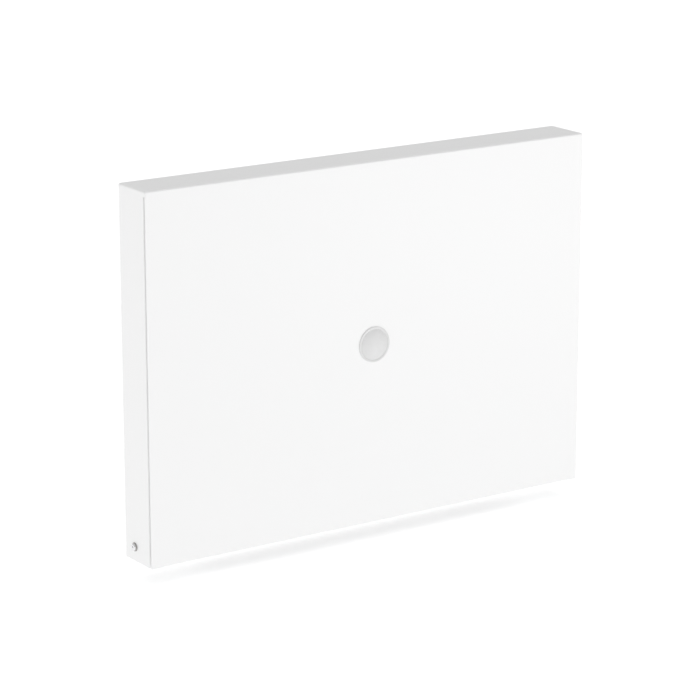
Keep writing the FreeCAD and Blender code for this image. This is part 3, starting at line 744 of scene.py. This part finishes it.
def build_hood_shell():
    """The folded cover with an open seam down each front corner."""
    sizes = bpy.context.scene.rack_hood
    work = bmesh.new()
    half = HOOD_HIGH.x
    waist, squareness, flange_gap = -20.0 * MM, 9, 1.0 * MM

    def outward(point):
        """Away from the hood's inside: it is a box that is open at the back and underneath."""
        depth = (HOOD_HIGH.y - point.y) / (HOOD_HIGH.y - HOOD_LOW.y)
        across = point.x / half
        rise = (point.z - waist) / (HOOD_HIGH.z - waist)
        return Vector((across**squareness, -(depth**squareness), rise**squareness))

    fold_end = half - sizes.edge_radius
    lap_end = half - sizes.lap_flange - flange_gap
    cut_end = half - sizes.edge_set_back
    middle = [hood_front_line(sizes, x) + hood_low_fold(sizes, x) for x in (-lap_end, lap_end)]
    lattice(work, middle, outward)
    for side in LEFT_AND_RIGHT:
        lines = []
        for x in (side * lap_end, side * fold_end):
            lines.append(hood_front_line(sizes, x) + [Vector((x, HOOD_LOW.y, HOOD_LOW.z))])
        lattice(work, lines, outward)
        seam_edge = lines[-1][-3:]
        cut_edge = [Vector((side * cut_end, p.y, p.z)) for p in seam_edge]
        lattice(work, [seam_edge, cut_edge], outward)
        hood_side_faces(work, sizes, side, outward)
    bmesh.ops.remove_doubles(work, verts=work.verts, dist=LINE_MERGE)
    piece = from_bmesh("hood_cover", work)
    wall = piece.modifiers.new("Sheet", "SOLIDIFY")
    wall.thickness = sizes.sheet
    wall.offset = -1.0
    wall.use_even_offset = True
    bake_modifiers(piece)
    reach = half + OVERSHOOT
    drill = from_bmesh("drill", bar(-reach, reach, BUSH_RADIUS + WELD_GAP))
    drill.data.transform(Matrix.Translation((0, PIVOT.y, PIVOT.z)))
    carve(piece, [drill])
    ease_edges(piece, sizes.cut_edge, segments=3, angle=50.0)
    finish_piece(piece, "hood_shell", "white_coat")


def build_front_badge():
    """A blank disc with one turned ring."""
    sizes = bpy.context.scene.rack_badge
    radius = BADGE_HIGH.x
    depth = BADGE_HIGH.y - BADGE_LOW.y
    ring_in = sizes.ring_radius - sizes.ring_width / 2
    ring_out = sizes.ring_radius + sizes.ring_width / 2
    back, ease = 0.1 * MM, 0.12 * MM
    profile = [(0, 0), (0, radius - back), (back, radius), (depth - sizes.rim, radius)]
    profile += [(depth - down, radius - inwards) for down, inwards in rounding(sizes.rim, 6)[1:]]
    floor = depth - sizes.ring_depth
    profile += [(depth, ring_out + ease), (depth - ease, ring_out), (floor, ring_out - ease)]
    profile += [(floor, ring_in + ease), (depth - ease, ring_in), (depth, ring_in - ease), (depth, 0)]
    work = turned(profile, sizes.steps)
    bmesh.ops.transform(work, matrix=Matrix.Rotation(-math.pi / 2, 4, "Z"), verts=work.verts)
    middle = (BADGE_LOW + BADGE_HIGH) / 2
    bmesh.ops.translate(work, vec=(middle.x, BADGE_HIGH.y, middle.z), verts=work.verts)
    piece = from_bmesh("badge_disc", work)
    shade_round(piece, 50)
    finish_piece(piece, "front_badge", "badge_enamel")


def threaded_profile(total, radius, plain, pitch, depth):
    """Profile points of a stud with a plain foot and a thread up to its eased end."""
    tip, shoulder, nose = 0.3 * MM, 0.1 * MM, 0.5 * MM
    profile = [(0, 0), (0, radius)]
    for i in range(int((total - pitch - plain) / pitch) + 1):
        along = plain + pitch * i
        profile += [(along, radius), (along + pitch / 2, radius - depth)]
    return profile + [(total - tip, radius - shoulder), (total, radius - nose), (total, 0)]


def build_hood_inside():
    """Stiffeners, strikes, hinge plates, studs and nuts inside the hood."""
    from_cad("hood_stiffeners", "white_coat")
    from_cad("catch_strikes", "plate_steel", 0.15 * MM)
    from_cad("hinge_plates", "plate_steel", 0.3 * MM)
    stud_low, stud_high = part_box("hinge_studs")
    nut_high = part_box("hinge_nuts")[1]
    stud_radius, stud_length = 2.0 * MM, 6.7 * MM
    plain, pitch, thread_depth = 1.2 * MM, 0.5 * MM, 0.25 * MM
    across_flats, nut_height = 7.0 * MM, 3.2 * MM
    front_y, rear_y = stud_low.y + stud_radius, stud_high.y - stud_radius
    low_z, high_z = stud_low.z + stud_radius, stud_high.z - stud_radius
    studs, nuts = [], []
    for side in LEFT_AND_RIGHT:
        for y, z in ((front_y, low_z), (front_y, high_z), (rear_y, high_z)):
            studs.append((Vector((side * stud_high.x, y, z)), facing(-side)))
            nuts.append((Vector((side * (nut_high.x - nut_height), y, z)), facing(side)))
    profile = threaded_profile(stud_length, stud_radius, plain, pitch, thread_depth)
    like_parts("hinge_studs", "steel", turned(profile, 24), studs)
    nut = from_bmesh("nut", hexagon(0, nut_height, across_flats))
    carve(nut, [from_bmesh("hole", bar(-OVERSHOOT, nut_height + OVERSHOOT, stud_radius, 24))])
    like_parts("hinge_nuts", "steel", reopen(nut), nuts, edge=0.35 * MM, smooth=50.0)


# --- the tray


def build_base_tray():
    """The folded tray with its ears and wall holes."""
    from_cad("base_tray", "white_coat", 0.3 * MM)


def build_rests():
    """The brackets, rubber strips and rivets that the folded rails lean on."""
    from_cad("rest_brackets", "white_coat")
    from_cad("rest_strips", "rubber", 0.4 * MM)
    low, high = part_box("rest_rivets")
    head_radius, shank_radius, head, rim = 3.5 * MM, 2.0 * MM, 1.2 * MM, 0.2 * MM
    shank = high.y - low.y - head
    spacing, forwards = 36.0 * MM, (0.0, 0.0, -math.pi / 2)
    outer = high.x - head_radius
    profile = [(-shank, 0), (-shank, shank_radius), (0, shank_radius), (0, head_radius)]
    profile += dome(rim, head - rim, head_radius, 8)
    places = []
    for side in LEFT_AND_RIGHT:
        for x in (outer - spacing, outer):
            for z in (low.z + head_radius, high.z - head_radius):
                places.append((Vector((side * x, low.y + head, z)), forwards))
    like_parts("rest_rivets", "steel", turned(profile, 32), places)


# --- rails and hubs


def build_rails():
    """Five nested rails, each one bent rod."""
    sizes = bpy.context.scene.rack_rails
    for number in HOOPS:
        cad_node = f"hoop_{number}_rail"
        low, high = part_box(cad_node)
        rod = sizes.rod_radius
        left, right = low.x + rod, high.x - rod
        top = high.z - rod
        middle = (low.y + high.y) / 2
        line = bpy.data.meshes.new(cad_node)
        corners = [(left, middle, low.z), (left, middle, top), (right, middle, top), (right, middle, low.z)]
        line.from_pydata(corners, [(0, 1), (1, 2), (2, 3)], [])
        piece = grow(
            cad_node,
            line,
            "Bent rail",
            rod_radius=rod,
            bend_radius=sizes.bend_radius,
            bend_steps=sizes.bend_steps,
            round_steps=sizes.round_steps,
            material=material("rail_coat"),
        )
        piece.data.set_sharp_from_angle(angle=math.radians(40))
        finish_piece(piece, cad_node, "rail_coat")


def build_hubs():
    """Hubs with their arc slots, and the spring pins that hold the rails in them."""
    bore_share, ease, backwards = 0.45, 0.2 * MM, (0.0, 0.0, math.pi / 2)
    for number in HOOPS:
        from_cad(f"hoop_{number}_hubs", "hub_plastic", 0.35 * MM, smooth=40.0)
        cad_node = f"hoop_{number}_pins"
        low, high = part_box(cad_node)
        radius = (high.z - low.z) / 2
        span = high.y - low.y
        profile = ring_profile(0, span, radius * bore_share, radius, ease)
        centre = (low + high) / 2
        arm = high.x - radius
        places = [(Vector((side * arm, low.y, centre.z)), backwards) for side in LEFT_AND_RIGHT]
        like_parts(cad_node, "spring_steel", turned(profile, 24), places)


# --- the pivot


def round_piece(cad_node, finish, profile, steps=48):
    """One turned piece along X, on the axis of its CAD node."""
    low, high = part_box(cad_node)
    piece = from_bmesh(cad_node + "_finished", turned(profile, steps))
    centre = (low + high) / 2
    piece.data.transform(Matrix.Translation((0, centre.y, centre.z)))
    shade_round(piece, 30)
    finish_piece(piece, cad_node, finish)


def grooved_profile(end, radius, groove, width, depth, bore=0.0):
    """Profile of a long bar with a groove near each end, and drilled ends if a bore is given."""
    ease, bore_depth, drill_tip = 0.4 * MM, 14.0 * MM, 1.0 * MM
    half = [(groove, radius), (groove, radius - depth), (groove + width, radius - depth)]
    half += [(groove + width, radius), (end - ease, radius), (end, radius - ease)]
    if bore > 0:
        half += [(end, bore + CLEARANCE), (end - CLEARANCE, bore)]
        half += [(end - bore_depth, bore), (end - bore_depth - drill_tip, 0)]
    else:
        half += [(end, 0)]
    return [(-along, r) for along, r in reversed(half)] + half


def bush_profile(total, flange, flange_radius, ease):
    """Closed profile of a flanged bush that starts at its flange."""
    low, last = SHAFT_BORE + ease, total - ease
    profile = [(0, low), (0, flange_radius - ease), (ease, flange_radius), (flange, flange_radius)]
    profile += [(flange, BUSH_RADIUS), (last, BUSH_RADIUS), (total, BUSH_RADIUS - ease), (total, low)]
    return profile + [(last, SHAFT_BORE), (ease, SHAFT_BORE), (0, low)]


def build_shafts():
    """Shaft, stop rod, the retaining rings in their grooves and the sleeve between the rails."""
    clip, depth, reach, pinch = 1.0 * MM, 0.8 * MM, 2.5 * MM, 0.98
    rods = (
        ("pivot_shaft", "shaft_clips", SHAFT_HIGH.x, PIVOT, SHAFT_RADIUS, 2.5 * MM),
        ("stop_rod", "stop_rod_clips", STOP_HIGH.x, STOP, STOP_ROD_RADIUS, 0.0),
    )
    for rod, clips, end, centre, radius, bore in rods:
        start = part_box(clips)[1].x - clip
        round_piece(rod, "steel", grooved_profile(end, radius, start, clip, depth, bore))
        floor = radius - depth
        work = snap_ring(clip, floor, radius + reach, 2 * floor * pinch)
        like_parts(clips, "spring_steel", work, mirrored(centre, start, clip), edge=0.12 * MM, smooth=50.0)
    outer = SLEEVE_HIGH.z - PIVOT.z
    profile = ring_profile(SLEEVE_LOW.x, SLEEVE_HIGH.x, SHAFT_BORE, outer, 0.3 * MM)
    round_piece("centre_sleeve", "aluminium", profile)


def build_spacers():
    """Spacers between the hubs and outside the ears, and the hood's flanged bushes."""
    ease = 0.3 * MM
    width, radius = 1.6 * MM, 8.0 * MM
    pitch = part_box("hoop_1_rail")[1].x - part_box("hoop_2_rail")[1].x
    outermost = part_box("hub_spacers")[1].x - width
    places = []
    for i in range(len(HOOPS)):
        places += mirrored(PIVOT, outermost - pitch * i, width)
    work = turned(ring_profile(0, width, SHAFT_BORE, radius, ease), 40)
    like_parts("hub_spacers", "grey_plastic", work, places)

    start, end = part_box("base_tray")[1].x + CLEARANCE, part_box("ear_spacers")[1].x
    work = turned(ring_profile(0, end - start, SHAFT_BORE, 7.0 * MM, ease), 40)
    like_parts("ear_spacers", "grey_plastic", work, at_ends(PIVOT, start))

    flange = 1.0 * MM
    start = PLATE_HIGH.x - HINGE_PLATE - flange
    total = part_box("hood_bushes")[1].x - start
    work = turned(bush_profile(total, flange, 9.0 * MM, 0.25 * MM), 48)
    like_parts("hood_bushes", "grey_plastic", work, at_ends(PIVOT, start))


def build_pivot_screws():
    """The dark washers, partly painted shade round each head, and the dome-headed screws that show on the hood's
    sides.
    """
    washer, washer_radius, screw_radius = 0.8 * MM, 6.0 * MM, 2.5 * MM
    profile = ring_profile(0, washer, screw_radius, washer_radius, 0.2 * MM)
    work = turned(profile, 64)
    # The washers' dark steel is partly their own colour and partly painted shade: it paints the dark ring of shade
    # round each screw head.
    like_parts("pivot_washers", "spring_steel", work, at_ends(PIVOT, SHAFT_HIGH.x))

    shank, ease = 12.0 * MM, 0.1 * MM
    head_radius, rise, land, flat = 4.75 * MM, 2.2 * MM, 0.5 * MM, 2.3 * MM
    socket, socket_depth = 3.0 * MM, 1.5 * MM
    profile = [(-shank, 0), (-shank, screw_radius - CLEARANCE), (CLEARANCE - shank, screw_radius)]
    profile += [(0, screw_radius), (0, head_radius - ease), (ease, head_radius), (land, head_radius)]
    for turn in quarter(10)[1:]:
        along = land + (rise - land) * math.sin(turn)
        profile.append((along, flat + (head_radius - flat) * math.cos(turn)))
    profile.append((rise, 0))
    screw = from_bmesh("screw", turned(profile, 64))
    carve(screw, [from_bmesh("socket", hexagon(rise - socket_depth, rise + OVERSHOOT, socket))])
    head_start = SHAFT_HIGH.x + washer
    like_parts("pivot_screws", "polished_steel", reopen(screw), at_ends(PIVOT, head_start), smooth=35.0)


def build_pivot():
    """Shaft, stop rod and everything that turns or sits on them."""
    build_shafts()
    build_spacers()
    build_pivot_screws()


# --- the catches


def build_catches():
    """Magnetic catches on the tray's top flange."""
    from_cad("catch_housings", "grey_plastic", 0.35 * MM)
    from_cad("catch_magnets", "magnet", 0.3 * MM)
    low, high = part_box("catch_screws")
    radius, head_radius, head, rim = 1.5 * MM, 2.8 * MM, 2.0 * MM, 0.5 * MM
    blade = Vector((2.4 * MM, 0.7 * MM, 3.2 * MM))
    spacing, tip, blunt, upwards = 34.0 * MM, 0.6 * MM, 0.6, (0.0, -math.pi / 2, 0.0)
    total = high.z - low.z
    profile = [(0, 0), (0, radius * blunt), (tip, radius), (total - head, radius)]
    profile += [(total - head, head_radius), (total - rim, head_radius)]
    profile += dome(total - rim, rim, head_radius, 5)
    screw = from_bmesh("catch_screw", turned(profile, 32))
    blades = []
    for turn in (0, math.pi / 2):
        work = bmesh.new()
        bmesh.ops.create_cube(work, size=1.0)
        bmesh.ops.scale(work, vec=blade, verts=work.verts)
        bmesh.ops.rotate(work, matrix=Matrix.Rotation(turn, 3, "X"), verts=work.verts)
        bmesh.ops.translate(work, vec=(total, 0, 0), verts=work.verts)
        blades.append(from_bmesh("blade", work))
    carve(screw, blades)
    outer, y = high.x - head_radius, (low.y + high.y) / 2
    places = []
    for side in LEFT_AND_RIGHT:
        for x in (outer - spacing, outer):
            places.append((Vector((side * x, y, low.z)), upwards))
    like_parts("catch_screws", "steel", reopen(screw), places, smooth=35.0)


# --- the stage


def build_floor(settings):
    """A wide pale floor, a little below the closed rack."""
    work = bmesh.new()
    bmesh.ops.create_circle(work, cap_ends=True, radius=settings.floor_radius, segments=64)
    bmesh.ops.translate(work, vec=(0, 0, HOOD_LOW.z - settings.floor_drop), verts=work.verts)
    floor = from_bmesh("floor", work)
    white, glow = (0.93, 0.93, 0.93, 1), settings.floor_glow
    paint, _, shader = shade("floor_white", Base_Color=white, Roughness=0.9, Specular_IOR_Level=0.0)
    fill(shader, {"Emission Color": (1, 1, 1, 1), "Emission Strength": glow})
    floor.data.materials.append(paint)


def build_world(settings):
    """Studio light: a little stronger from above, weaker from the rack's two ends."""
    world = bpy.data.worlds.new("studio")
    bpy.context.scene.world = world
    world.use_nodes = True
    tree = world.node_tree
    background = tree.nodes["Background"]
    place = node(tree, "ShaderNodeTexCoord")
    split = node(tree, "ShaderNodeSeparateXYZ")
    tree.links.new(place.outputs["Generated"], split.inputs["Vector"])
    height = ramp(tree, split.outputs["Z"], 0.15, 0.95, settings.horizon, settings.zenith)
    sideways = node(tree, "ShaderNodeMath", operation="ABSOLUTE")
    tree.links.new(split.outputs["X"], sideways.inputs[0])
    ends = ramp(tree, sideways.outputs["Value"], 0.0, 1.0, 1.0, 1.0 - settings.end_shade)
    both = node(tree, "ShaderNodeMath", operation="MULTIPLY")
    tree.links.new(height, both.inputs[0])
    tree.links.new(ends, both.inputs[1])
    tree.links.new(both.outputs["Value"], background.inputs["Strength"])
    background.inputs["Color"].default_value = (1, 1, 1, 1)


def add_softbox(name, place, target, size, power):
    """A large square lamp that looks at a point."""
    lamp = bpy.data.lights.new(name, "AREA")
    lamp.shape = "SQUARE"
    lamp.size = size
    lamp.energy = power
    made = in_scene(name, lamp)
    made.location = place
    made.rotation_mode = "QUATERNION"
    made.rotation_quaternion = (Vector(target) - Vector(place)).to_track_quat("-Z", "Y")


def build_stage():
    """Floor, light and camera."""
    settings = bpy.context.scene.rack_stage
    build_floor(settings)
    build_world(settings)
    target, sensor_width, sight = (0.1, 0, 0), 36.0, 200.0
    add_softbox("key", settings.key_place, target, settings.key_size, settings.key_power)
    lens = bpy.data.cameras.new("camera")
    lens.lens = settings.lens
    lens.sensor_width = sensor_width
    lens.clip_end = sight
    camera = in_scene("camera", lens)
    level = math.cos(settings.elevation)
    across, away = math.sin(settings.azimuth) * level, math.cos(settings.azimuth) * level
    back = Vector((across, -away, math.sin(settings.elevation)))
    camera.location = Vector(settings.aim) + back * settings.distance
    camera.rotation_mode = "QUATERNION"
    camera.rotation_quaternion = (-back).to_track_quat("-Z", "Y")
    bpy.context.scene.camera = camera
    bpy.context.scene.view_settings.view_transform = "Standard"


# --- operators and panel


class BuildHoodShell(bpy.types.Operator):
    """Build the folded white hood"""

    bl_idname = "rack.hood_shell"
    bl_label = "Hood shell"

    def execute(self, context):
        build_hood_shell()
        return {"FINISHED"}


class BuildFrontBadge(bpy.types.Operator):
    """Build the blank round badge on the hood's front"""

    bl_idname = "rack.front_badge"
    bl_label = "Front badge"

    def execute(self, context):
        build_front_badge()
        return {"FINISHED"}


class BuildHoodInside(bpy.types.Operator):
    """Build the stiffeners, strikes, hinge plates, studs and nuts"""

    bl_idname = "rack.hood_inside"
    bl_label = "Hood inside"

    def execute(self, context):
        build_hood_inside()
        return {"FINISHED"}


class BuildBaseTray(bpy.types.Operator):
    """Build the tray on the wall"""

    bl_idname = "rack.base_tray"
    bl_label = "Base tray"

    def execute(self, context):
        build_base_tray()
        return {"FINISHED"}


class BuildRests(bpy.types.Operator):
    """Build the brackets and strips behind the folded rails"""

    bl_idname = "rack.rests"
    bl_label = "Rail rests"

    def execute(self, context):
        build_rests()
        return {"FINISHED"}


class BuildRails(bpy.types.Operator):
    """Build the five bent rails"""

    bl_idname = "rack.rails"
    bl_label = "Rails"

    def execute(self, context):
        build_rails()
        return {"FINISHED"}


class BuildHubs(bpy.types.Operator):
    """Build the rails' hubs and their spring pins"""

    bl_idname = "rack.hubs"
    bl_label = "Hubs"

    def execute(self, context):
        build_hubs()
        return {"FINISHED"}


class BuildPivot(bpy.types.Operator):
    """Build the shaft, stop rod and everything on them"""

    bl_idname = "rack.pivot"
    bl_label = "Pivot"

    def execute(self, context):
        build_pivot()
        return {"FINISHED"}


class BuildCatches(bpy.types.Operator):
    """Build the magnetic catches"""

    bl_idname = "rack.catches"
    bl_label = "Catches"

    def execute(self, context):
        build_catches()
        return {"FINISHED"}


class BuildStage(bpy.types.Operator):
    """Build the floor, the light and the camera"""

    bl_idname = "rack.stage"
    bl_label = "Stage"

    def execute(self, context):
        build_stage()
        return {"FINISHED"}


OPERATORS = (
    BuildHoodShell,
    BuildFrontBadge,
    BuildHoodInside,
    BuildBaseTray,
    BuildRests,
    BuildRails,
    BuildHubs,
    BuildPivot,
    BuildCatches,
    BuildStage,
)
SETTINGS = {
    "rack_hood": HoodSettings,
    "rack_badge": BadgeSettings,
    "rack_rails": RailSettings,
    "rack_coats": CoatSettings,
    "rack_stage": StageSettings,
}


class RackPanel(bpy.types.Panel):
    """Lists the rack's settings and its build steps"""

    bl_idname = "RACK_PT_panel"
    bl_label = "Drying rack"
    bl_space_type = "VIEW_3D"
    bl_region_type = "UI"
    bl_category = "Drying rack"

    def draw(self, context):
        for name, group in SETTINGS.items():
            box = self.layout.box()
            box.label(text=group.__doc__.strip("."))
            for key in group.__annotations__:
                box.prop(getattr(context.scene, name), key)
        for operator in OPERATORS:
            self.layout.operator(operator.bl_idname)


def register():
    """Makes the settings, operators and panel known to Blender."""
    for group in SETTINGS.values():
        bpy.utils.register_class(group)
    for name, group in SETTINGS.items():
        setattr(bpy.types.Scene, name, PointerProperty(type=group))
    for operator in OPERATORS:
        bpy.utils.register_class(operator)
    bpy.utils.register_class(RackPanel)


def unregister():
    """Takes them out again."""
    bpy.utils.unregister_class(RackPanel)
    for operator in reversed(OPERATORS):
        bpy.utils.unregister_class(operator)
    for name, group in SETTINGS.items():
        delattr(bpy.types.Scene, name)
        bpy.utils.unregister_class(group)


def main():
    """Builds the rack: makes its settings, operators and panel known and runs each build step."""
    register()
    bpy.ops.rack.hood_shell()
    bpy.ops.rack.front_badge()
    bpy.ops.rack.hood_inside()
    bpy.ops.rack.base_tray()
    bpy.ops.rack.rests()
    bpy.ops.rack.rails()
    bpy.ops.rack.hubs()
    bpy.ops.rack.pivot()
    bpy.ops.rack.catches()
    bpy.ops.rack.stage()


if __name__ == "__main__":
    main()
